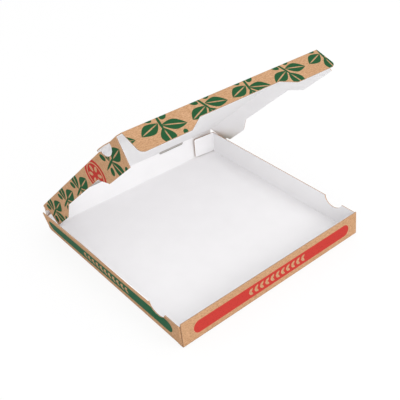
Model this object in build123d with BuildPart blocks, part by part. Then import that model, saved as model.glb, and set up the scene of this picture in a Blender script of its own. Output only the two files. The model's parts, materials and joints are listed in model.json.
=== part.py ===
from build123d import *
import math
import os

os.makedirs("parts", exist_ok=True)

# A take-away pizza box folded from one blank of micro-corrugated board, its lid part open.
# X runs along the hinge, the front wall faces -Y, and the origin is the middle of the underside.

# Board and folds
board = 1.5
bend = 1.6                  # radius of a fold at mid-thickness
floor_run = 10.0            # flat board kept beside each fold round the floor
crease_gap = 0.15           # each side of a flap's crease is cut back by this
crease_drop = 0.3           # a flap's crease line lies this far inside the inner face
hinge_gap = 0.45            # clear way between the lid's edge and the rounded hinge edge

# Tray
tray_width = 300.0
tray_depth = 300.0
wall_height = 35.0
wall_back_gap = 7.0         # the side walls stop this far from the back of the floor
left_front_lean_angle = 4.5     # the left wall is twisted and leans out more towards the back
left_back_lean_angle = 12.0
right_lean_angle = 0.4
front_lean_angle = 5.0          # inwards
back_lean_angle = 4.0

# Front wall, with a corner flap from each side wall glued behind it
front_height = 35.0
front_end_gap = 0.4         # cut back of the front wall at each corner
glue_line = 0.4             # between the front wall and the corner flap behind it
tuck_length = 38.0          # corner flap behind the front wall
tuck_foot = 2.5
tuck_head = 4.5
tuck_taper = 3.0            # the flap is lower by this at each edge of its free end

# Thumb notch near the front of each side wall
notch_place = 42.6          # middle of the notch from the front of the floor
notch_width = 29.5
notch_depth = 12.2
notch_lip = 2.2             # the stub in front of the notch stands this much lower

# Back wall, hinge and hinge slots
hinge_height = 38.0         # up the back wall to the hinge crease
back_end_gap = 1.0
slot_length = 46.0
slot_width = 5.2
slot_place = 69.7           # middle of each slot from the middle of the hinge

# Lid
lid_open_angle = 43.2       # above level
lid_inset = 0.7             # each side crease lies this far inside the tray's width
lid_short = 1.0             # the lid is this much shorter than the tray is deep
lid_corner = 1.2            # hinge corners of the lid are cut off by this
lid_front_corner = 3.8      # and its front corners by this
tab_width = 29.0
tab_reach = 9.5
tab_place = 260.5           # middle of the half-round tab from the hinge crease
tab_clearance = 0.4

# Lid flaps
flap_depth = 32.8
flap_waist = 20.6           # depth of the narrow middle
left_fold_angle = 95.0
right_fold_angle = 61.5
front_fold_angle = 60.0
side_flap_start = 2.0       # from the hinge crease
side_heel = 11.0            # below its heel the flap is cut back to here
side_heel_rake = 1.5
left_heel_drop = 7.2        # the left heel goes down into the notch of the corner flap
right_heel_drop = 27.0      # the right one hangs outside the wall
side_lobe_back = 57.2
side_step_back = 25.6
side_lobe_front = 222.0
side_step_front = 21.3
side_flap_end_gap = 4.5     # from the front crease
side_toe_rake = 10.0
side_toe_radius = 1.5
side_heel_radius = 3.0
front_flap_end_gap = 3.8
front_lobe = 69.5           # from the end of the front crease
front_step = 20.0
front_toe_radius = 7.0
step_radius = 4.0

# Back corner flaps
corner_length = 36.5
corner_taper = 1.2
corner_foot = 2.6
left_corner_top = 31.5
right_corner_top = 35.6
left_corner_fall = 4.0      # the top edge drops by this towards the free end
right_corner_fall = 0.6
corner_radius = 2.0
corner_notch_width = 10.0    # the left one is cut beside its crease, where the lid flap goes inside it
corner_notch_depth = 7.5
corner_fold_angle = 84.5


def direction(angle, first, second):
    # unit vector turned by an angle in degrees from the first vector towards the second
    turn = math.radians(angle)
    return first * math.cos(turn) + second * math.sin(turn)


lid_width = tray_width - 2 * lid_inset
lid_length = tray_depth - lid_short      # hinge crease to front crease

along_x = Vector(1, 0, 0)
along_y = Vector(0, 1, 0)
up = Vector(0, 0, 1)

# Each wall stands on an outer fold line and leans, with one direction up it and one into the tray
left_foot = along_x * (-tray_width / 2)
right_foot = along_x * (tray_width / 2)
front_foot = along_y * (-tray_depth / 2)
back_foot = along_y * (tray_depth / 2)
left_front_up = direction(left_front_lean_angle, up, -along_x)
left_back_up = direction(left_back_lean_angle, up, -along_x)
right_up = direction(right_lean_angle, up, along_x)
front_up = direction(front_lean_angle, up, along_y)
back_up = direction(back_lean_angle, up, along_y)
left_front_in = along_y.cross(left_front_up)
left_back_in = along_y.cross(left_back_up)
right_in = -along_y.cross(right_up)
front_in = -along_x.cross(front_up)
back_in = along_x.cross(back_up)

# Hinge crease at mid-thickness of the back wall, and the lid's plane with local Y away from the hinge
hinge = back_foot + back_up * hinge_height + back_in * (board / 2)
lid_way = direction(lid_open_angle, -along_y, up)
lid_in = along_x.cross(lid_way)
lid_plane = Plane(hinge, x_dir=along_x, z_dir=lid_in)
lid_crease = hinge + lid_in * (board / 2 + crease_drop)

# Lid flaps hang from their crease lines, with local Y away from the crease
left_way = direction(left_fold_angle, -along_x, lid_in)
right_way = direction(right_fold_angle, along_x, lid_in)
front_way = direction(front_fold_angle, lid_way, lid_in)
left_crease = lid_crease - along_x * (lid_width / 2)
right_crease = lid_crease + along_x * (lid_width / 2)
front_crease = lid_crease + lid_way * lid_length
left_flap_plane = Plane(left_crease, x_dir=lid_way, z_dir=lid_way.cross(left_way))
right_flap_plane = Plane(right_crease, x_dir=lid_way, z_dir=lid_way.cross(right_way))
front_flap_plane = Plane(front_crease, x_dir=along_x, z_dir=along_x.cross(front_way))

# Back corner flaps hang from the back ends of the side walls
wall_back = back_foot - along_y * wall_back_gap
left_corner_crease = left_foot + wall_back + left_back_in * (board + crease_drop)
right_corner_crease = right_foot + wall_back + right_in * (board + crease_drop)
left_corner_way = direction(corner_fold_angle, along_y, left_back_in)
right_corner_way = direction(corner_fold_angle, along_y, right_in)
left_corner_plane = Plane(left_corner_crease, x_dir=left_back_up, z_dir=left_back_up.cross(left_corner_way))
right_corner_plane = Plane(right_corner_crease, x_dir=right_up, z_dir=right_up.cross(right_corner_way))

# From outside to inside the front has its wall, the glue line and the corner flaps
front_length = tray_width - 2 * front_end_gap
wall_front = front_foot + along_y * (board + glue_line)
wall_length = wall_back.Y - crease_gap - wall_front.Y
stub_height = wall_height - notch_lip
notch_middle = front_foot.Y + notch_place
front_plane = Plane(front_foot, x_dir=along_x, z_dir=-front_in)
back_plane = Plane(back_foot, x_dir=along_x, z_dir=back_in)
side_plane = Plane(wall_front, x_dir=along_x, z_dir=-along_y)


def wall_path(foot, inward, upward, height):
    # mid-thickness line of a wall: along the floor, round the fold and up to a height
    rise = (board / 2) * (1 - inward.Z) / upward.Z
    turn = foot + inward * (board / 2) + upward * rise
    floor_in = Vector(inward.X, inward.Y, 0).normalized()
    return [turn + floor_in * floor_run, turn, foot + inward * (board / 2) + upward * height]


def across_x(points):
    return [(point.X, point.Z) for point in points]


def across_y(points):
    return [(point.Y, point.Z) for point in points]


def side_flap_sketch(heel_drop):
    # flap along a side of the lid: deep at both ends, narrow between, half-round cut beside the tab
    toe = lid_length - side_flap_end_gap
    Polygon(
        (side_flap_start, crease_gap),
        (side_flap_start, heel_drop),
        (side_heel, heel_drop + side_heel_rake),
        (side_heel + side_heel_rake, flap_depth),
        (side_lobe_back, flap_depth),
        (side_lobe_back + side_step_back, flap_waist),
        (side_lobe_front - side_step_front, flap_waist),
        (side_lobe_front, flap_depth),
        (toe - side_toe_rake, flap_depth),
        (toe, crease_gap),
        align=None,
    )
    waist = vertices().filter_by(lambda corner: abs(corner.Y - flap_waist) < crease_gap)
    lobes = vertices().group_by(Axis.Y)[-1].sort_by(Axis.X)
    fillet(waist + lobes[1:3], radius=step_radius)
    fillet(vertices().sort_by_distance((toe - side_toe_rake, flap_depth))[0], radius=side_toe_radius)
    fillet(vertices().sort_by_distance((side_heel, flap_depth))[0], radius=side_heel_radius)
    with Locations((tab_place, 0)):
        Ellipse(tab_width / 2 + tab_clearance, tab_reach + tab_clearance, mode=Mode.SUBTRACT)


def front_flap_sketch():
    # flap along the front of the lid, the same form with square ends
    end = lid_width / 2 - front_flap_end_gap
    lobe = lid_width / 2 - front_lobe
    Polygon(
        (-end, crease_gap),
        (-end, flap_depth),
        (-lobe, flap_depth),
        (-lobe + front_step, flap_waist),
        (lobe - front_step, flap_waist),
        (lobe, flap_depth),
        (end, flap_depth),
        (end, crease_gap),
        align=None,
    )
    rows = vertices().group_by(Axis.Y)
    lobes = rows[-1].sort_by(Axis.X)
    fillet(rows[-2] + lobes[1:3], radius=step_radius)
    fillet(vertices().sort_by_distance((-end, flap_depth))[0], radius=front_toe_radius)
    fillet(vertices().sort_by_distance((end, flap_depth))[0], radius=front_toe_radius)


def corner_flap_sketch(top, fall):
    # back corner flap, local X up the wall's end
    Polygon(
        (corner_foot, crease_gap),
        (top, crease_gap),
        (top - fall, corner_length),
        (corner_foot, corner_length - corner_taper),
        align=None,
    )
    fillet(vertices().sort_by(Axis.Y)[-2:], radius=corner_radius)


with BuildPart() as tray:
    with BuildSketch(Plane.XY):
        Rectangle(tray_width - floor_run, tray_depth - floor_run)
    extrude(amount=board)
    # side walls with their folds, the thumb notches and the lower stubs in front of them
    with BuildSketch(side_plane):
        with BuildLine():
            FilletPolyline(*across_x(wall_path(left_foot, left_front_in, left_front_up, wall_height)), radius=bend)
        trace(line_width=board)
    with BuildSketch(side_plane.offset(-wall_length)):
        with BuildLine():
            FilletPolyline(*across_x(wall_path(left_foot, left_back_in, left_back_up, wall_height)), radius=bend)
        trace(line_width=board)
    loft(ruled=True)
    with BuildSketch(side_plane):
        with BuildLine():
            FilletPolyline(*across_x(wall_path(right_foot, right_in, right_up, wall_height)), radius=bend)
        trace(line_width=board)
    extrude(amount=-wall_length)
    with BuildSketch(Plane.YZ):
        with Locations((notch_middle, wall_height)):
            Ellipse(notch_width / 2, notch_depth)
    extrude(amount=tray_width, both=True, mode=Mode.SUBTRACT)
    with BuildSketch(Plane.YZ):
        with BuildLine():
            Polyline(
                (notch_middle, stub_height),
                (notch_middle, front_height + wall_height),
                (front_foot.Y, front_height + wall_height),
                (front_foot.Y, stub_height),
                close=True,
            )
        make_face()
    extrude(amount=tray_width, both=True, mode=Mode.SUBTRACT)
    # the walls' front ends follow the lean of the front wall
    slant = front_foot + front_in * (board + glue_line)
    with BuildSketch(Plane.YZ):
        with BuildLine():
            Polyline(
                (slant.Y, board),
                (slant.Y + (wall_height - board) * math.tan(math.radians(front_lean_angle)), wall_height),
                (slant.Y - floor_run, wall_height),
                (slant.Y - floor_run, board),
                close=True,
            )
        make_face()
    extrude(amount=tray_width, both=True, mode=Mode.SUBTRACT)
    # corner flaps behind the front wall
    tuck_top = front_height - tuck_head
    with BuildSketch(front_plane.offset(-board - glue_line)):
        for side, lean in ((-1, left_front_lean_angle), (1, right_lean_angle)):
            low_end = tray_width / 2 - board / 2 + tuck_foot * math.tan(math.radians(lean))
            top_end = tray_width / 2 - board / 2 + tuck_top * math.tan(math.radians(lean))
            free_end = tray_width / 2 - tuck_length
            with BuildLine():
                Polyline(
                    (side * low_end, tuck_foot),
                    (side * top_end, tuck_top),
                    (side * free_end, tuck_top - tuck_taper),
                    (side * free_end, tuck_foot + tuck_taper),
                    close=True,
                )
            make_face()
    extrude(amount=-board)
    # front wall
    with BuildSketch(Plane.YZ.offset(-front_length / 2)):
        with BuildLine():
            FilletPolyline(*across_y(wall_path(front_foot, front_in, front_up, front_height)), radius=bend)
        trace(line_width=board)
    extrude(amount=front_length)
    # back wall with the rounded hinge edge and the hinge slots
    back_length = tray_width - 2 * back_end_gap
    with BuildSketch(Plane.YZ.offset(-back_length / 2)):
        with BuildLine():
            FilletPolyline(*across_y(wall_path(back_foot, back_in, back_up, hinge_height)), radius=bend)
        trace(line_width=board)
        with Locations((hinge.Y, hinge.Z)):
            Circle(board / 2)
    extrude(amount=back_length)
    with BuildSketch(back_plane):
        with Locations((-slot_place, hinge_height), (slot_place, hinge_height)):
            SlotOverall(slot_length, slot_width)
    extrude(amount=2 * board, both=True, mode=Mode.SUBTRACT)
tray.part.label = "tray"
export_step(tray.part, "parts/tray.step")

with BuildPart() as lid:
    edge = board / 2 + hinge_gap
    half = lid_width / 2 - crease_gap
    with BuildSketch(lid_plane.offset(-board / 2)):
        with BuildLine():
            Polyline(
                (-half + lid_corner, edge),
                (half - lid_corner, edge),
                (half, edge + lid_corner),
                (half, lid_length - crease_gap - lid_front_corner),
                (half - lid_front_corner, lid_length - crease_gap),
                (-half + lid_front_corner, lid_length - crease_gap),
                (-half, lid_length - crease_gap - lid_front_corner),
                (-half, edge + lid_corner),
                close=True,
            )
        make_face()
        with Locations((-half, tab_place), (half, tab_place)):
            Ellipse(tab_reach, tab_width / 2)
        with Locations((-slot_place, 0), (slot_place, 0)):
            SlotOverall(slot_length, slot_width, mode=Mode.SUBTRACT)
    extrude(amount=board)
lid.part.label = "lid"
export_step(lid.part, "parts/lid.step")

with BuildPart() as lid_left_flap:
    with BuildSketch(left_flap_plane.offset(-crease_drop - board)):
        side_flap_sketch(left_heel_drop)
    extrude(amount=board)
lid_left_flap.part.label = "lid_left_flap"
export_step(lid_left_flap.part, "parts/lid_left_flap.step")

with BuildPart() as lid_right_flap:
    with BuildSketch(right_flap_plane.offset(crease_drop)):
        side_flap_sketch(right_heel_drop)
    extrude(amount=board)
lid_right_flap.part.label = "lid_right_flap"
export_step(lid_right_flap.part, "parts/lid_right_flap.step")

with BuildPart() as lid_front_flap:
    with BuildSketch(front_flap_plane.offset(-crease_drop - board)):
        front_flap_sketch()
    extrude(amount=board)
lid_front_flap.part.label = "lid_front_flap"
export_step(lid_front_flap.part, "parts/lid_front_flap.step")

with BuildPart() as back_left_corner_flap:
    with BuildSketch(left_corner_plane.offset(crease_drop)):
        corner_flap_sketch(left_corner_top, left_corner_fall)
        with Locations((left_corner_top, 0)):
            Rectangle(2 * corner_notch_depth, 2 * corner_notch_width, mode=Mode.SUBTRACT)
    extrude(amount=board)
back_left_corner_flap.part.label = "back_left_corner_flap"
export_step(back_left_corner_flap.part, "parts/back_left_corner_flap.step")

with BuildPart() as back_right_corner_flap:
    with BuildSketch(right_corner_plane.offset(-crease_drop - board)):
        corner_flap_sketch(right_corner_top, right_corner_fall)
    extrude(amount=board)
back_right_corner_flap.part.label = "back_right_corner_flap"
export_step(back_right_corner_flap.part, "parts/back_right_corner_flap.step")
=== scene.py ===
import json
import math
import bpy
import bmesh
from mathutils import Matrix, Vector
from mathutils.bvhtree import BVHTree


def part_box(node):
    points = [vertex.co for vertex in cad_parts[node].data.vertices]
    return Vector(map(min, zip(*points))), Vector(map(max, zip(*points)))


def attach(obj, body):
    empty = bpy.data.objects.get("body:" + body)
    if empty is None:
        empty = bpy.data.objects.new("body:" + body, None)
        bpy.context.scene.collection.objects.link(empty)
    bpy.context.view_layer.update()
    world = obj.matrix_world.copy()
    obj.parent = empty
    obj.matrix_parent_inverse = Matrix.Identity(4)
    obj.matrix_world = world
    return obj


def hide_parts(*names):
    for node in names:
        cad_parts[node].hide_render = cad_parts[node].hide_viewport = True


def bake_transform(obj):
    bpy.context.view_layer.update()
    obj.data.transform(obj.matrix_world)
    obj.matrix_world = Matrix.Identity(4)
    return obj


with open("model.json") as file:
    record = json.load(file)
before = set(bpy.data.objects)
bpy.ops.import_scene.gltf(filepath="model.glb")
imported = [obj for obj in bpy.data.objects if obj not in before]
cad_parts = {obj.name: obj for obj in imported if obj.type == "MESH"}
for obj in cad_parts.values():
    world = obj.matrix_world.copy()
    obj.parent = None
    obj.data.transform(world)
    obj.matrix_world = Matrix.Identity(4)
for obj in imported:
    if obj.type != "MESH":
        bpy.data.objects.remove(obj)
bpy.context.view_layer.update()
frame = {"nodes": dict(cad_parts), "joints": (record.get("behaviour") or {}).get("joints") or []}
print("frame loaded with", len(frame["nodes"]), "nodes")

mm = 0.001
alongX = Vector((1, 0, 0))
alongY = Vector((0, 1, 0))
joints = {joint["name"]: joint for joint in frame["joints"]}


def linear(hexColour):
    # sRGB hex to the linear colour that a shader takes
    parts = [int(hexColour[i:i + 2], 16) / 255 for i in (1, 3, 5)]
    return [c / 12.92 if c <= 0.04045 else ((c + 0.055) / 1.055) ** 2.4 for c in parts] + [1]


def addNode(tree, kind, inputs=None, **settings):
    node = tree.nodes.new(kind)
    for key, value in settings.items():
        setattr(node, key, value)
    for socket, value in (inputs or {}).items():
        if isinstance(value, bpy.types.NodeSocket):
            tree.links.new(value, node.inputs[socket])
        else:
            node.inputs[socket].default_value = value
    return node


def newMaterial(name):
    material = bpy.data.materials.new(name)
    material.use_nodes = True
    return material, material.node_tree, material.node_tree.nodes["Principled BSDF"]


# Print on the blank. Every shape is stamped on the flat sheet, in millimetres.
def stampSpot(tree, place, x, y, turn, length, width):
    # place as seen from a shape: its edge is one unit from its middle
    return addNode(tree, "ShaderNodeMapping", {0: place, 1: (x, y, 0), 2: (0, 0, math.radians(turn)),
                   3: (length / 2, width / 2, 1)}, vector_type="TEXTURE").outputs[0]


def softEdge(tree, reach, width):
    blur = printing["inkSpread"] / width
    return addNode(tree, "ShaderNodeMapRange", {0: reach, 1: 1 + blur, 2: 1 - blur}).outputs[0]


def ovalMask(tree, place, x, y, turn, length, width):
    spot = stampSpot(tree, place, x, y, turn, length, width)
    reach = addNode(tree, "ShaderNodeVectorMath", {0: spot}, operation="LENGTH").outputs["Value"]
    return softEdge(tree, reach, width)


def leafMask(tree, place, x, y, turn, length, width):
    spot = stampSpot(tree, place, x, y, turn, length, width)
    spot = addNode(tree, "ShaderNodeVectorMath", {0: spot}, operation="ABSOLUTE").outputs[0]
    part = addNode(tree, "ShaderNodeSeparateXYZ", {0: spot}).outputs
    curve = addNode(tree, "ShaderNodeMath", {0: part[0], 1: printing["leafPoint"]},
                    operation="POWER").outputs[0]
    reach = addNode(tree, "ShaderNodeMath", {0: curve, 1: part[1]}, operation="ADD").outputs[0]
    return softEdge(tree, reach, width)


def joinMasks(tree, masks):
    whole = masks[0]
    for mask in masks[1:]:
        whole = addNode(tree, "ShaderNodeMath", {0: whole, 1: mask}, operation="MAXIMUM").outputs[0]
    return whole


def cutMask(tree, mask, hole):
    left = addNode(tree, "ShaderNodeMath", {0: mask, 1: hole}, operation="SUBTRACT", use_clamp=True)
    return left.outputs[0]


def mixColour(tree, share, first, second, **settings):
    mixed = addNode(tree, "ShaderNodeMix", {0: share, 6: first, 7: second}, data_type="RGBA", **settings)
    return mixed.outputs[2]


printing = {
    "red": "#B53029",
    "green": "#12502B",
    "inkSpread": 0.5,               # soft edge of a printed shape
    "leafPoint": 1.7,               # more gives a rounder leaf
    "columnSpacing": 62.0,          # lid pattern, a motif in every cell
    "rowSpacing": 56.0,
    "columnMiddle": -167.0,         # one column runs down the left flap
    "rowMiddle": 315.0,             # and one row along the front flap
    "redEvery": 6,
    "redPhase": 4,
    # leaves of the sprig: x, y, turn, length, width
    "leaves": [(2, 14, 82, 28, 17), (-14, 2, 158, 29, 16), (14, -3, 18, 28, 16)],
    "stem": (-1.5, -8, 78, 30, 3.2),
    "olives": [(-10, -14, 40, 11, 7.5), (9, -16.5, 140, 11, 7.5), (-17.5, 17, 60, 8, 5.5)],
    "veinWidth": 1.6,
    "veinShare": 0.8,               # of the leaf's length
    "sliceSize": 41.0,              # round slice in red
    "sliceRing": (33.0, 29.5),
    "seeds": 6,
    "seedPlace": 9.0,
    "seedSize": (8.4, 4.8),
}


def lidPrint(tree, place, sheet):
    # grid of leaf sprigs, mirrored from column to column, and now and then a round slice
    part = addNode(tree, "ShaderNodeSeparateXYZ", {0: place}).outputs
    wide, tall = printing["columnSpacing"], printing["rowSpacing"]
    startX, startY = 0.5 - printing["columnMiddle"] / wide, 0.5 - printing["rowMiddle"] / tall
    across = addNode(tree, "ShaderNodeMath", {0: part[0], 1: 1 / wide, 2: startX},
                     operation="MULTIPLY_ADD").outputs[0]
    upward = addNode(tree, "ShaderNodeMath", {0: part[1], 1: 1 / tall, 2: startY},
                     operation="MULTIPLY_ADD").outputs[0]
    column = addNode(tree, "ShaderNodeMath", {0: across}, operation="FLOOR").outputs[0]
    row = addNode(tree, "ShaderNodeMath", {0: upward}, operation="FLOOR").outputs[0]
    cell = addNode(tree, "ShaderNodeCombineXYZ", {0: across, 1: upward}).outputs[0]
    cell = addNode(tree, "ShaderNodeVectorMath", {0: cell}, operation="FRACTION").outputs[0]
    cell = addNode(tree, "ShaderNodeVectorMath", {0: cell, 1: (wide, tall, 0), 2: (-wide / 2, -tall / 2, 0)},
                   operation="MULTIPLY_ADD").outputs[0]
    odd = addNode(tree, "ShaderNodeMath", {0: column, 1: 2.0}, operation="FLOORED_MODULO").outputs[0]
    hand = addNode(tree, "ShaderNodeMath", {0: odd, 1: -2.0, 2: 1.0}, operation="MULTIPLY_ADD").outputs[0]
    hand = addNode(tree, "ShaderNodeCombineXYZ", {0: hand, 1: 1.0}).outputs[0]
    cell = addNode(tree, "ShaderNodeVectorMath", {0: cell, 1: hand}, operation="MULTIPLY").outputs[0]
    every, phase = float(printing["redEvery"]), float(printing["redPhase"])
    count = addNode(tree, "ShaderNodeMath", {0: column, 1: every / 2, 2: row},
                    operation="MULTIPLY_ADD").outputs[0]
    count = addNode(tree, "ShaderNodeMath", {0: count, 1: every}, operation="FLOORED_MODULO").outputs[0]
    isRed = addNode(tree, "ShaderNodeMath", {0: count, 1: phase, 2: 0.5}, operation="COMPARE").outputs[0]

    sprig = joinMasks(tree, [leafMask(tree, cell, *leaf) for leaf in printing["leaves"]]
                      + [ovalMask(tree, cell, *olive) for olive in printing["olives"]])
    veins = [ovalMask(tree, cell, x, y, turn, printing["veinShare"] * length, printing["veinWidth"])
             for x, y, turn, length, width in printing["leaves"]]
    sprig = cutMask(tree, sprig, joinMasks(tree, veins))
    sprig = joinMasks(tree, [sprig, ovalMask(tree, cell, *printing["stem"])])

    size, (ringOut, ringIn) = printing["sliceSize"], printing["sliceRing"]
    bare = [cutMask(tree, ovalMask(tree, cell, 0, 0, 0, ringOut, ringOut),
                    ovalMask(tree, cell, 0, 0, 0, ringIn, ringIn))]
    for k in range(printing["seeds"]):
        turn = 360 * k / printing["seeds"]
        x = printing["seedPlace"] * math.cos(math.radians(turn))
        y = printing["seedPlace"] * math.sin(math.radians(turn))
        bare.append(ovalMask(tree, cell, x, y, turn, *printing["seedSize"]))
    roundSlice = cutMask(tree, ovalMask(tree, cell, 0, 0, 0, size, size), joinMasks(tree, bare))

    redArea = addNode(tree, "ShaderNodeMath", {0: roundSlice, 1: isRed}, operation="MULTIPLY").outputs[0]
    greenArea = cutMask(tree, sprig, isRed)
    sheet = mixColour(tree, greenArea, sheet, linear(printing["green"]))
    return mixColour(tree, redArea, sheet, linear(printing["red"]))


bands = {
    # middle of the band along the wall and up it, and its length, height and ink
    "front": {"middle": (0.3, 17.0), "length": 266.5, "height": 17.2, "ink": "#BC352F"},
    "side": {"middle": (-1.0, 18.2), "length": 268.0, "height": 18.0, "ink": "#1F5A3C"},
    "garlandHalf": 49.5,            # a row of leaves left bare in the middle of the band
    "garlandStep": 9.0,
    "garlandLeaf": (8.4, 4.0),
    "garlandTurn": 38,
    "garlandLift": 2.1,
}


def bandPrint(wall):
    def stamp(tree, place, sheet):
        band = bands[wall]
        run = (band["length"] - band["height"]) / 2
        step, half, lift = bands["garlandStep"], bands["garlandHalf"], bands["garlandLift"]
        turn, leaf = bands["garlandTurn"], bands["garlandLeaf"]
        local = addNode(tree, "ShaderNodeVectorMath", {0: place, 1: (*band["middle"], 0)},
                        operation="SUBTRACT").outputs[0]
        spread = addNode(tree, "ShaderNodeVectorMath", {0: local}, operation="ABSOLUTE").outputs[0]
        spread = addNode(tree, "ShaderNodeVectorMath", {0: spread, 1: (run, 0, 0)},
                         operation="SUBTRACT").outputs[0]
        spread = addNode(tree, "ShaderNodeVectorMath", {0: spread, 1: (0, 0, 0)},
                         operation="MAXIMUM").outputs[0]
        field = ovalMask(tree, spread, 0, 0, 0, band["height"], band["height"])
        part = addNode(tree, "ShaderNodeSeparateXYZ", {0: local}).outputs
        along = addNode(tree, "ShaderNodeMath", {0: part[0], 1: step / 2, 2: -step / 2},
                        operation="WRAP").outputs[0]
        spot = addNode(tree, "ShaderNodeCombineXYZ", {0: along, 1: part[1]}).outputs[0]
        leaves = joinMasks(tree, [leafMask(tree, spot, 0, lift, turn, *leaf),
                                  leafMask(tree, spot, 0, -lift, -turn, *leaf)])
        far = addNode(tree, "ShaderNodeMath", {0: part[0]}, operation="ABSOLUTE").outputs[0]
        near = addNode(tree, "ShaderNodeMath", {0: far, 1: half}, operation="LESS_THAN").outputs[0]
        leaves = addNode(tree, "ShaderNodeMath", {0: leaves, 1: near}, operation="MULTIPLY").outputs[0]
        return mixColour(tree, cutMask(tree, field, leaves), sheet, linear(band["ink"]))
    return stamp


# What the papers share
def blankPlace(tree):
    # place on the flat blank, in millimetres
    flat = addNode(tree, "ShaderNodeUVMap", uv_map="blank").outputs[0]
    return addNode(tree, "ShaderNodeVectorMath", {0: flat, "Scale": 1 / mm}, operation="SCALE").outputs[0]


def paperNoise(tree, place, size, detail, roughness=0.5):
    return addNode(tree, "ShaderNodeTexNoise", {"Vector": place, "Scale": 1 / size, "Detail": detail,
                                                "Roughness": roughness}).outputs[0]


def shareOf(tree, noise, low, high, most):
    # none below the low noise level, most above the high one
    return addNode(tree, "ShaderNodeMapRange", {0: noise, 1: low, 2: high, 3: 0.0, 4: most}).outputs[0]


def bumpPaper(tree, shader, height, strength, distance):
    bump = addNode(tree, "ShaderNodeBump", {"Height": height, "Strength": strength,
                                            "Distance": distance * mm})
    tree.links.new(bump.outputs[0], shader.inputs["Normal"])


def sineWave(tree, place, length):
    phase = addNode(tree, "ShaderNodeMath", {0: place, 1: 2 * math.pi / length},
                    operation="MULTIPLY").outputs[0]
    return addNode(tree, "ShaderNodeMath", {0: phase}, operation="SINE").outputs[0]


# Kraft liner: unbleached paper, brown and matt, with long fibres and dark specks, drawn coarse to show.
# Sizes are in millimetres; a share is the noise it starts at, the noise it ends at and the most it takes.
kraft = {
    "colour": "#D4A985",
    "dark": "#A2784F",
    "speck": "#8F6747",
    "fibreLength": 4.5,
    "fibreWidth": 1.2,
    "fibreNoise": (3.0, 0.6),       # detail and roughness
    "fibreShare": (0.3, 0.7, 0.85),
    "cloudSize": 45.0,
    "cloudShare": (0.3, 0.7, 0.22),
    "speckSize": 1.6,
    "speckShare": (0.55, 0.75, 0.55),
    "detail": 2.0,                  # of the clouds and specks
    "inkMissed": (0.4, 0.75, 0.03),     # share of the ink that the fibres don't take
    "roughness": (0.74, 0.90),      # least and most, by the fibres
    "bump": (0.35, 0.12),           # strength, and height in millimetres
    "ior": 1.45,
    "gloss": 0.25,
}


def kraftLiner(name, stamp=None):
    material, tree, shader = newMaterial(name)
    place = blankPlace(tree)
    fine = (1 / kraft["fibreLength"], 1 / kraft["fibreWidth"], 1)
    grain = addNode(tree, "ShaderNodeMapping", {0: place, 3: fine}).outputs[0]
    fibre = paperNoise(tree, grain, 1.0, *kraft["fibreNoise"])
    speck = paperNoise(tree, place, kraft["speckSize"], kraft["detail"])
    cloud = paperNoise(tree, place, kraft["cloudSize"], kraft["detail"])
    dark = linear(kraft["dark"])
    sheet = mixColour(tree, shareOf(tree, fibre, *kraft["fibreShare"]), linear(kraft["colour"]), dark)
    sheet = mixColour(tree, shareOf(tree, cloud, *kraft["cloudShare"]), sheet, dark)
    if stamp:
        missed = shareOf(tree, fibre, *kraft["inkMissed"])
        sheet = mixColour(tree, missed, stamp(tree, place, sheet), sheet)
    sheet = mixColour(tree, shareOf(tree, speck, *kraft["speckShare"]), sheet, linear(kraft["speck"]),
                      blend_type="MULTIPLY")
    tree.links.new(sheet, shader.inputs["Base Color"])
    smoothest, roughest = kraft["roughness"]
    rough = addNode(tree, "ShaderNodeMapRange", {0: fibre, 3: smoothest, 4: roughest}).outputs[0]
    tree.links.new(rough, shader.inputs["Roughness"])
    bumpPaper(tree, shader, fibre, *kraft["bump"])
    shader.inputs["IOR"].default_value = kraft["ior"]
    shader.inputs["Specular IOR Level"].default_value = kraft["gloss"]
    return material


# Bleached inner liner: white, smooth and matt, with a faint cloudiness and the flutes just showing through
white = {
    "colour": "#F1F0F1",
    "dark": "#EBEAEB",
    "cloudSize": 30.0,
    "detail": 4.0,
    "flute": 3.2,
    "bump": (0.15, 0.02),
    "roughness": 0.6,
    "ior": 1.45,
    "gloss": 0.3,
}


def whiteLiner(name):
    material, tree, shader = newMaterial(name)
    place = blankPlace(tree)
    cloud = paperNoise(tree, place, white["cloudSize"], white["detail"])
    sheet = mixColour(tree, cloud, linear(white["colour"]), linear(white["dark"]))
    tree.links.new(sheet, shader.inputs["Base Color"])
    part = addNode(tree, "ShaderNodeSeparateXYZ", {0: place}).outputs
    bumpPaper(tree, shader, sineWave(tree, part[1], white["flute"]), *white["bump"])
    shader.inputs["Roughness"].default_value = white["roughness"]
    shader.inputs["IOR"].default_value = white["ior"]
    shader.inputs["Specular IOR Level"].default_value = white["gloss"]
    return material


# Cut edge of the board: two liners with the wavy fluting between them, and the hollows between painted dark
# as the shade inside them
cut = {
    "paper": "#C4A183",
    # the hollows between the flutes: painted shade
    "hollowShade": "#8E694C",
    "inner": "#EBEAEB",             # the inner liner is white on its edge too
    "flute": 2.6,
    "liner": 0.2,                   # share of the board, as are the next two
    "sheet": 0.17,
    "swing": 0.3,
    "bump": (0.5, 0.2),
    "roughness": 0.9,
    "gloss": 0.2,
}


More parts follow.
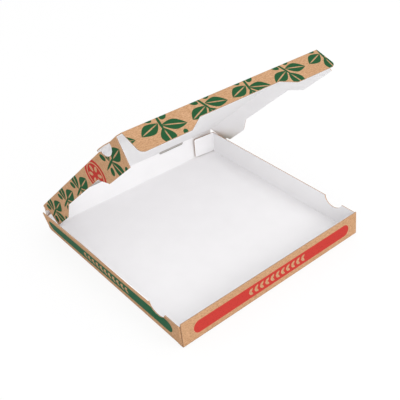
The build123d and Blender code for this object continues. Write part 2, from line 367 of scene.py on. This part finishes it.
def cutEdge(name, thickness):
    material, tree, shader = newMaterial(name)
    flat = addNode(tree, "ShaderNodeUVMap", uv_map="blank").outputs[0]
    part = addNode(tree, "ShaderNodeSeparateXYZ", {0: flat}).outputs
    wave = sineWave(tree, part[0], cut["flute"] * mm)
    # from -0.5 at the inner face to 0.5 at the outer one
    deep = addNode(tree, "ShaderNodeMath", {0: part[1], 1: 1 / thickness, 2: -0.5},
                   operation="MULTIPLY_ADD").outputs[0]
    line = addNode(tree, "ShaderNodeMath", {0: wave, 1: -cut["swing"], 2: deep},
                   operation="MULTIPLY_ADD").outputs[0]
    line = addNode(tree, "ShaderNodeMath", {0: line}, operation="ABSOLUTE").outputs[0]
    wavy = addNode(tree, "ShaderNodeMath", {0: line, 1: cut["sheet"]}, operation="LESS_THAN").outputs[0]
    skin = addNode(tree, "ShaderNodeMath", {0: deep}, operation="ABSOLUTE").outputs[0]
    skin = addNode(tree, "ShaderNodeMath", {0: skin, 1: 0.5 - cut["liner"]},
                   operation="GREATER_THAN").outputs[0]
    paper = joinMasks(tree, [wavy, skin])
    # the hollows between the flutes take the dark colour: painted shade
    colour = mixColour(tree, paper, linear(cut["hollowShade"]), linear(cut["paper"]))
    inner = addNode(tree, "ShaderNodeMath", {0: deep, 1: cut["liner"] - 0.5},
                    operation="LESS_THAN").outputs[0]
    colour = mixColour(tree, inner, colour, linear(cut["inner"]))
    tree.links.new(colour, shader.inputs["Base Color"])
    bumpPaper(tree, shader, paper, *cut["bump"])
    shader.inputs["Roughness"].default_value = cut["roughness"]
    shader.inputs["Specular IOR Level"].default_value = cut["gloss"]
    return material


# Fluting seen in the hinge slots, where the board is cut through to its outer liner: grey-brown and matt, its
# grey made darker as painted shade of the narrow slots
slotShadeFluting = {"colour": "#B3AFAB", "roughness": 0.9, "gloss": 0.2}


def slotShadeFlutingPaper(name):
    material, tree, shader = newMaterial(name)
    shader.inputs["Base Color"].default_value = linear(slotShadeFluting["colour"])
    shader.inputs["Roughness"].default_value = slotShadeFluting["roughness"]
    shader.inputs["Specular IOR Level"].default_value = slotShadeFluting["gloss"]
    return material


# The board as the frame has it: each plate's outward side and its depth from the crease
def placeOf(jointName):
    return Vector(joints[jointName]["pos_m"])


def axisOf(jointName):
    return Vector(joints[jointName]["axis"]).normalized()


def outwardOf(node, inside):
    # a plate lies wholly on the outer side of a crease point
    largest = max(frame["nodes"][node].data.polygons, key=lambda face: face.area)
    normal = largest.normal.copy()
    return normal if (largest.center - inside).dot(normal) > 0 else -normal


def depthsOf(node, point, outward):
    reach = [(vert.co - point).dot(outward) for vert in frame["nodes"][node].data.vertices]
    return min(reach), max(reach)


lidOut = outwardOf("lid", placeOf("lid_front_flap_fold"))
lidWay = alongX.cross(lidOut)
lidInner, lidOuter = depthsOf("lid", placeOf("lid_front_flap_fold"), lidOut)
thickness = lidOuter - lidInner
hingePoint = placeOf("lid_hinge")
hingeHalf = 112 * mm                # beyond this the back wall's top is cut free from the lid
# Two slots in the hinge, cut through to the outer liner: depth each way from the crease
slot = {
    "depth": 2.6 * mm,
    "deeper": 1.3 * mm,             # added in the back wall
    "lap": 0.5 * mm,                # the liner goes on behind the rim
    "liner": 0.3 * mm,
    "sunk": 0.05 * mm,              # under the outer face
}

flapJoints = {"lid_left_flap": "lid_left_flap_fold", "lid_right_flap": "lid_right_flap_fold",
              "lid_front_flap": "lid_front_flap_fold", "back_left_corner_flap": "back_left_corner_fold",
              "back_right_corner_flap": "back_right_corner_fold"}

# material numbers, in the order of the papers
skins = {"kraft": 0, "white": 1, "edge": 2, "front": 3, "side": 4, "slotShadeFluting": 5}
papers = [kraftLiner("kraft_liner"), whiteLiner("bleached_liner"), cutEdge("cut_board_edge", thickness),
          kraftLiner("kraft_liner_front_print", bandPrint("front")),
          kraftLiner("kraft_liner_side_print", bandPrint("side")), slotShadeFlutingPaper("fluting_paper_with_slot_shade")]
lidSkin = kraftLiner("kraft_liner_lid_print", lidPrint)
print("materials made")

samePoint = 0.001 * mm              # points closer than this are one
flatAngle = math.radians(0.2)       # faces that differ by less are one
plateSide = 0.5                     # cosine from which a face is one of a plate's two sides
facing = 0.7                        # cosine from which a face counts as turned that way


def copyOfNode(node):
    shape = bmesh.new()
    shape.from_mesh(frame["nodes"][node].data)
    bmesh.ops.remove_doubles(shape, verts=shape.verts, dist=samePoint)
    return shape


def finishPiece(shape, name, outerSkin=None):
    mesh = bpy.data.meshes.new(name)
    shape.to_mesh(mesh)
    shape.free()
    for index, material in enumerate(papers):
        mesh.materials.append(outerSkin if outerSkin and index == skins["kraft"] else material)
    piece = bpy.data.objects.new(name, mesh)
    bpy.context.scene.collection.objects.link(piece)
    return piece


def mergeFlat(shape):
    bmesh.ops.dissolve_limit(shape, angle_limit=flatAngle, use_dissolve_boundaries=False,
                             verts=shape.verts, edges=shape.edges, delimit={"MATERIAL"})


def layEdge(face, across, layer):
    # a cut edge is laid out along the edge and across the board
    middle = face.calc_center_bounds()
    along = face.normal.cross(across).normalized()
    for loop in face.loops:
        step = loop.vert.co - middle
        loop[layer].uv = (loop.vert.co.dot(along), step.dot(across) + thickness / 2)


def inSlot(point):
    # on the rim of a hinge slot
    step = point - hingePoint
    return abs(step.x) < hingeHalf and math.hypot(step.y, step.z) < slot["depth"] + slot["lap"]


def plainPlate(node, outward, layOut, outerSkin):
    # a flat plate: kraft outside, white inside, cut edge round it
    shape = copyOfNode(node)
    for face in shape.faces:
        side = face.normal.dot(outward)
        # slot rims take the grey fluting paper, darkened as painted shade of the slots
        rim = "slotShadeFluting" if inSlot(face.calc_center_median()) else "edge"
        face.material_index = skins["kraft" if side > plateSide else "white" if side < -plateSide else rim]
    mergeFlat(shape)
    layer = shape.loops.layers.uv.new("blank")
    for face in shape.faces:
        if face.material_index == skins["edge"]:
            layEdge(face, outward, layer)
            continue
        for loop in face.loops:
            loop[layer].uv = layOut(loop.vert.co)
    piece = finishPiece(shape, node + "_board", outerSkin)
    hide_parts(node)
    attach(piece, node)


def lidLayout(point):
    return ((point - hingePoint).dot(alongX), (point - hingePoint).dot(lidWay))


plainPlate("lid", lidOut, lidLayout, lidSkin)

creases = {}
for node, jointName in flapJoints.items():
    point, axis = placeOf(jointName), axisOf(jointName)
    outward = outwardOf(node, point)
    inner, outer = depthsOf(node, point, outward)
    away = outward.cross(axis)
    verts = frame["nodes"][node].data.vertices
    centre = sum((vert.co for vert in verts), Vector()) / len(verts)
    away = away if (centre - point).dot(away) > 0 else -away
    creases[node] = {"point": point, "axis": axis, "outward": outward, "away": away,
                     "inner": inner, "outer": outer}


def carrierSide(node):
    # outward direction of what carries the flap, and the way from it to the flap
    crease = creases[node]
    if node.startswith("lid"):
        outward = lidOut
    else:
        onWall = -1 if "left" in node else 1
        wallUp = crease["axis"] if crease["axis"].z > 0 else -crease["axis"]
        outward = alongY.cross(wallUp) * onWall
    toFlap = outward.cross(crease["axis"])
    return outward, toFlap if toFlap.dot(crease["outward"]) > 0 else -toFlap


for node in creases:
    crease = creases[node]
    crease["carrierOut"], crease["toFlap"] = carrierSide(node)
    crease["fold"] = crease["carrierOut"].angle(crease["outward"])


def flapLayout(node):
    # the print runs on from the lid, round the fold and down the flap
    crease = creases[node]
    start = Vector(lidLayout(crease["point"]))
    turned = crease["outer"] * crease["fold"]
    across = Vector((crease["toFlap"].dot(alongX), crease["toFlap"].dot(lidWay)))

    def layOut(point):
        step = point - crease["point"]
        along = crease["axis"] * step.dot(crease["axis"])
        flatAlong = Vector((along.dot(alongX), along.dot(lidWay)))
        return start + flatAlong + across * (turned + (step - along).dot(crease["away"]))
    return layOut


def cornerLayout(node):
    crease = creases[node]

    def layOut(point):
        step = point - crease["point"]
        return (step.dot(crease["away"]), step.dot(crease["axis"]))
    return layOut


for node in flapJoints:
    if node.startswith("lid"):
        plainPlate(node, creases[node]["outward"], flapLayout(node), lidSkin)
    else:
        plainPlate(node, creases[node]["outward"], cornerLayout(node), None)
print("lid, lid flaps and corner flaps made")


# Tray, one folded sheet
trayLow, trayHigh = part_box("tray")
tray = {
    "footX": 150 * mm,              # where the side walls leave the floor
    "footY": -trayLow.y,            # and the front and back walls
    "backWall": 0.9 * hingePoint.y,     # the back wall lies beyond this
    "sideEdge": 0.97 * trayHigh.x,      # top edges beyond this belong to the side walls
    "upright": 0.8,                 # cosine from which a face counts as a wall's outside
    "deepest": 1.2 * thickness,     # a face with more board behind it is a cut edge
    "covers": 6 * thickness,        # how near a sheet in front of a face hides it
    "hair": 0.01 * mm,              # a ray starts this far off its face
}


def deepenSlots(shape):
    # a slot reaches further into the wall than into the lid
    for vert in shape.verts:
        depth = hingePoint.z - vert.co.z
        if inSlot(vert.co) and depth > thickness / 2:
            vert.co.z -= slot["deeper"] * depth / slot["depth"]


def splitBackWall(shape):
    # the top of the back wall is parted where it is cut free from the lid
    for end in (-hingeHalf, hingeHalf):
        wall = [face for face in shape.faces if min(vert.co.y for vert in face.verts) > tray["backWall"]]
        parts = dict.fromkeys(part for face in wall for part in (*face.verts, *face.edges, face))
        bmesh.ops.bisect_plane(shape, geom=list(parts), plane_co=(end, 0, 0), plane_no=alongX)


def skinTray(shape):
    middle = Vector((0, 0, (trayLow.z + trayHigh.z) / 2))
    solid = BVHTree.FromBMesh(shape)
    for face in shape.faces:
        centre, normal = face.calc_center_median(), face.normal
        through = solid.ray_cast(centre - normal * tray["hair"], -normal)[3]
        covered = solid.ray_cast(centre + normal * tray["hair"], normal, tray["covers"])[3]
        toFront = normal.y < -tray["upright"] and not covered
        freeTop = centre.z > hingePoint.z - thickness / 4 and abs(centre.x) > hingeHalf
        overFloor = centre.z > 2 * thickness
        if toFront and overFloor and abs(centre.x) > tray["footX"] - thickness:
            skin = "kraft"          # side wall turning into the glued corner flap
        elif freeTop or through is None or through > tray["deepest"]:
            # slot rims take the grey fluting paper, darkened as painted shade of the slots
            skin = "slotShadeFluting" if inSlot(centre + Vector((0, 0, slot["deeper"]))) else "edge"
        elif normal.dot(middle - centre) > 0:
            skin = "white"
        elif toFront:
            skin = "front"
        elif abs(normal.x) > tray["upright"]:
            skin = "side"
        else:
            skin = "kraft"
        face.material_index = skins[skin]


def trayLayout(point, normal):
    # walls are laid out up from their feet, as seen from outside
    if abs(normal.x) > facing:
        side = 1 if point.x > 0 else -1
        return (side * point.y, math.hypot(point.x - side * tray["footX"], point.z))
    if abs(normal.y) > facing:
        side = 1 if point.y > 0 else -1
        return (-side * point.x, math.hypot(point.y - side * tray["footY"], point.z))
    return (point.x, point.y)


def makeTray():
    shape = copyOfNode("tray")
    deepenSlots(shape)
    splitBackWall(shape)
    skinTray(shape)
    mergeFlat(shape)
    layer = shape.loops.layers.uv.new("blank")
    for face in shape.faces:
        if face.material_index == skins["edge"]:
            spot = face.calc_center_bounds()
            onSide = abs(spot.x) > tray["sideEdge"]
            outward = alongX * math.copysign(1, spot.x) if onSide else alongY * math.copysign(1, spot.y)
            layEdge(face, outward, layer)
            continue
        for loop in face.loops:
            loop[layer].uv = trayLayout(loop.vert.co, face.normal)
    piece = finishPiece(shape, "tray_board")
    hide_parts("tray")
    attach(piece, "tray")


makeTray()
print("tray made")


# Creases: the board bends round each crease line, so lid and flaps stay one sheet
def foldSpans(node, point, axis, away, reach):
    # stretches of a plate's edge that lie along a crease
    pieces = []
    mesh = frame["nodes"][node].data
    for edge in mesh.edges:
        ends = [mesh.vertices[i].co - point for i in edge.vertices]
        if all(abs(end.dot(away)) < reach for end in ends):
            pieces.append(sorted(end.dot(axis) for end in ends))
    spans = []
    for first, last in sorted(pieces):
        if last - first < reach:
            continue
        if spans and first < spans[-1][1] + reach:
            spans[-1][1] = max(spans[-1][1], last)
        else:
            spans.append([first, last])
    return spans


bend = {
    "steps": 8,
    "weld": 0.0005 * mm,            # points closer than this are joined
    "reach": 0.5 * mm,              # an edge this near a crease lies along it
    "over": 0.06 * mm,              # the bent sheet covers the rounded top of the back wall
    "core": 0.02 * mm,              # radius left open in the middle of the hinge
}


def inOrder(shape):
    # points and faces in one order, the same at every run
    points = sorted(shape.verts, key=lambda vert: [round(c / samePoint) for c in vert.co])
    rank = {vert: index for index, vert in enumerate(points)}
    rings = []
    for face in shape.faces:
        ring = [rank[vert] for vert in face.verts]
        first = ring.index(min(ring))
        rings.append(ring[first:] + ring[:first])
    ordered = bmesh.new()
    corners = [ordered.verts.new(vert.co) for vert in points]
    for ring in sorted(rings):
        ordered.faces.new([corners[index] for index in ring])
    ordered.normal_update()
    shape.free()
    return ordered


def bentStrip(name, point, axis, span, carrierOut, toFlap, fold, radii, runs, layOut, outerSkin,
              innerSkin="white"):
    # a strip of board that leaves the carrier's edge, turns round the crease and meets the flap's edge
    shape = bmesh.new()
    ends = ((span[0], radii[0]), (span[1], radii[0]), (span[1], radii[1]), (span[0], radii[1]))
    corners = [shape.verts.new(point + axis * along + carrierOut * radius - toFlap * runs[0])
               for along, radius in ends]
    outline = corners + [shape.edges.new((corners[i], corners[i - 1])) for i in range(4)]
    spinAxis = carrierOut.cross(toFlap)
    flapWay = Matrix.Rotation(fold, 3, spinAxis) @ toFlap
    stages = ((0, 1, toFlap * runs[0]), (fold, bend["steps"], Vector()), (0, 1, flapWay * runs[1]))
    for angle, steps, shift in stages:
        if angle == 0 and shift.length < samePoint:
            continue
        made = bmesh.ops.spin(shape, geom=outline, cent=point, axis=spinAxis, dvec=shift, angle=angle,
                              steps=steps)
        outline = made["geom_last"]
    bmesh.ops.holes_fill(shape, edges=shape.edges, sides=4)
    bmesh.ops.remove_doubles(shape, verts=shape.verts, dist=bend["weld"])
    bmesh.ops.recalc_face_normals(shape, faces=shape.faces)
    shape = inOrder(shape)
    layer = shape.loops.layers.uv.new("blank")
    middle = sum(radii) / 2
    for face in shape.faces:
        centre = face.calc_center_median() - point
        flatCentre = centre - axis * centre.dot(axis)
        if abs(face.normal.dot(axis)) > facing:
            face.material_index = skins["edge"]
            layEdge(face, flatCentre.normalized(), layer)
            continue
        isOuter = face.normal.dot(flatCentre) > 0 and flatCentre.length > middle
        face.material_index = skins["kraft" if isOuter else innerSkin]
        for loop in face.loops:
            step = loop.vert.co - point
            step = step - axis * step.dot(axis)
            turn = max(0, math.atan2(step.dot(toFlap), step.dot(carrierOut)))
            loop[layer].uv = layOut(loop.vert.co, radii[1] * turn)
    return finishPiece(shape, name, outerSkin)


def stripLayout(node):
    crease = creases[node]
    start = Vector(lidLayout(crease["point"]))
    across = Vector((crease["toFlap"].dot(alongX), crease["toFlap"].dot(lidWay)))

    def layOut(point, turned):
        along = crease["axis"] * (point - crease["point"]).dot(crease["axis"])
        return start + Vector((along.dot(alongX), along.dot(lidWay))) + across * turned
    return layOut


for node, crease in creases.items():
    isLidFlap = node.startswith("lid")
    spans = foldSpans(node, crease["point"], crease["axis"], crease["away"], bend["reach"])
    gap = min((vert.co - crease["point"]).dot(crease["away"]) for vert in frame["nodes"][node].data.vertices)
    for index, span in enumerate(spans):
        name = "%s_crease_%d" % (node, index + 1)
        strip = bentStrip(name, crease["point"], crease["axis"], span, crease["carrierOut"], crease["toFlap"],
                          crease["fold"], (crease["inner"], crease["outer"]), (gap, gap), stripLayout(node),
                          lidSkin if isLidFlap else None)
        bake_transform(strip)
    print(node, "crease spans", len(spans), "fold %.1f" % math.degrees(crease["fold"]))

# Hinge: the back wall's sheet bends into the lid, apart from the two slots
trayFaces = frame["nodes"]["tray"].data.polygons
backFaces = [face for face in trayFaces if face.normal.y > tray["upright"]]
backFace = max(backFaces, key=lambda face: face.area)
backOut = backFace.normal.copy()
backUp = alongX.cross(backOut)
hingeFold = backOut.angle(lidOut)
inset = thickness / 2 * math.tan(hingeFold / 2)
innerCorner = hingePoint - backOut * (thickness / 2) - backUp * inset
lidEdge = min((vert.co - hingePoint).dot(lidWay) for vert in frame["nodes"]["lid"].data.vertices)
hingeSpans = foldSpans("lid", hingePoint + lidWay * lidEdge, alongX, lidWay, bend["reach"])


def hingeLayout(point, turned):
    return lidLayout(point)


for index, span in enumerate(hingeSpans):
    span = [max(-hingeHalf, span[0]), min(hingeHalf, span[1])]
    strip = bentStrip("hinge_crease_%d" % (index + 1), innerCorner, alongX, span, backOut, backUp, hingeFold,
                      (bend["core"], thickness + bend["over"]), (0.0, lidEdge + inset), hingeLayout, None)
    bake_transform(strip)

# Behind the slots the outer liner bends on; its inner side takes the grey fluting paper, darkened as painted
# shade of the slot
onLid = slot["depth"] + slot["lap"]
onWall = onLid + slot["deeper"]
slotRadii = (thickness - slot["liner"], thickness - slot["sunk"])
for index, (before, after) in enumerate(zip(hingeSpans, hingeSpans[1:])):
    span = (before[1], after[0])
    strip = bentStrip("hinge_slot_liner_%d" % (index + 1), innerCorner, alongX, span, backOut, backUp,
                      hingeFold, slotRadii, (onWall - inset, onLid + inset), hingeLayout, None, "slotShadeFluting")
    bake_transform(strip)
print("creases made")

# Studio: pale floor, white surround, soft lamps
studio = {
    "floorSize": 6.0,
    "floorDrop": 0.3 * mm,
    "floorColour": "#F4F4F4",       # as it is seen
    "bounceColour": "#CECECE",      # as it lights the box
    "floorRoughness": 0.9,
    "shadowShare": 0.15,
    "surround": 1.02,
}


def seenDirectly(tree):
    path = addNode(tree, "ShaderNodeLightPath").outputs
    return joinMasks(tree, [path["Is Camera Ray"], path["Is Glossy Ray"], path["Is Transmission Ray"]])


def makeFloor():
    shape = bmesh.new()
    bmesh.ops.create_grid(shape, x_segments=1, y_segments=1, size=studio["floorSize"] / 2)
    bmesh.ops.translate(shape, verts=shape.verts, vec=(0, 0, -studio["floorDrop"]))
    mesh = bpy.data.meshes.new("floor")
    shape.to_mesh(mesh)
    shape.free()
    floor = bpy.data.objects.new("floor", mesh)
    bpy.context.scene.collection.objects.link(floor)
    material, tree, shader = newMaterial("paper_backdrop")   # matt white paper, it keeps a light shadow
    shader.inputs["Roughness"].default_value = studio["floorRoughness"]
    glow = addNode(tree, "ShaderNodeEmission", {0: (1, 1, 1, 1), 1: 1.0}).outputs[0]
    seen = seenDirectly(tree)
    colour = mixColour(tree, seen, linear(studio["bounceColour"]), linear(studio["floorColour"]))
    tree.links.new(colour, shader.inputs["Base Color"])
    share = addNode(tree, "ShaderNodeMath", {0: seen, 1: 1 - studio["shadowShare"]},
                    operation="MULTIPLY").outputs[0]
    mixed = addNode(tree, "ShaderNodeMixShader", {0: share, 1: shader.outputs[0], 2: glow}).outputs[0]
    tree.links.new(mixed, tree.nodes["Material Output"].inputs["Surface"])
    mesh.materials.append(material)


def makeSurround():
    world = bpy.data.worlds.new("studio_surround")
    bpy.context.scene.world = world
    world.use_nodes = True
    tree = world.node_tree
    back = tree.nodes["Background"]
    back.inputs["Color"].default_value = (1, 1, 1, 1)
    level = addNode(tree, "ShaderNodeMapRange", {0: seenDirectly(tree), 3: studio["surround"], 4: 1.0})
    tree.links.new(level.outputs[0], back.inputs["Strength"])


lamps = {
    # place, size and power of each softbox, all aimed at the middle of the box
    "key_softbox": {"place": (0.65, -1.6, 1.25), "size": 1.2, "power": 10.5},
    "fill_softbox": {"place": (-0.85, -1.6, 0.65), "size": 1.2, "power": 8.5},
}
lampAim = Vector((0, 0, 0.06))


def makeLamps():
    for name, lamp in lamps.items():
        light = bpy.data.lights.new(name, "AREA")
        light.shape = "SQUARE"
        light.size = lamp["size"]
        light.energy = lamp["power"]
        holder = bpy.data.objects.new(name, light)
        holder.location = lamp["place"]
        holder.rotation_euler = (lampAim - holder.location).to_track_quat("-Z", "Y").to_euler()
        bpy.context.scene.collection.objects.link(holder)


# Camera fitted to the corners and creases of the photograph
camera = {
    "place": (-464.42, -595.20, 596.62),    # in millimetres
    "aim": (54.08, 2.0, 70.31),
    "roll": -1.521,
    "focalPixels": 696.6,           # in a picture this wide
    "frame": 400,
    "sensor": 36.0,
    "shift": (-0.0692, -0.0685),
}


def makeCamera():
    lens = bpy.data.cameras.new("camera")
    lens.sensor_width = camera["sensor"]
    lens.lens = camera["sensor"] * camera["focalPixels"] / camera["frame"]
    lens.shift_x, lens.shift_y = camera["shift"]
    holder = bpy.data.objects.new("camera", lens)
    place, aim = Vector(camera["place"]) * mm, Vector(camera["aim"]) * mm
    turn = (aim - place).to_track_quat("-Z", "Y").to_matrix().to_4x4()
    roll = Matrix.Rotation(math.radians(camera["roll"]), 4, "Z")
    holder.matrix_world = Matrix.Translation(place) @ turn @ roll
    bpy.context.scene.collection.objects.link(holder)
    bpy.context.scene.camera = holder


makeFloor()
makeSurround()
makeLamps()
makeCamera()
bpy.context.scene.view_settings.view_transform = "Standard"
print("studio made")
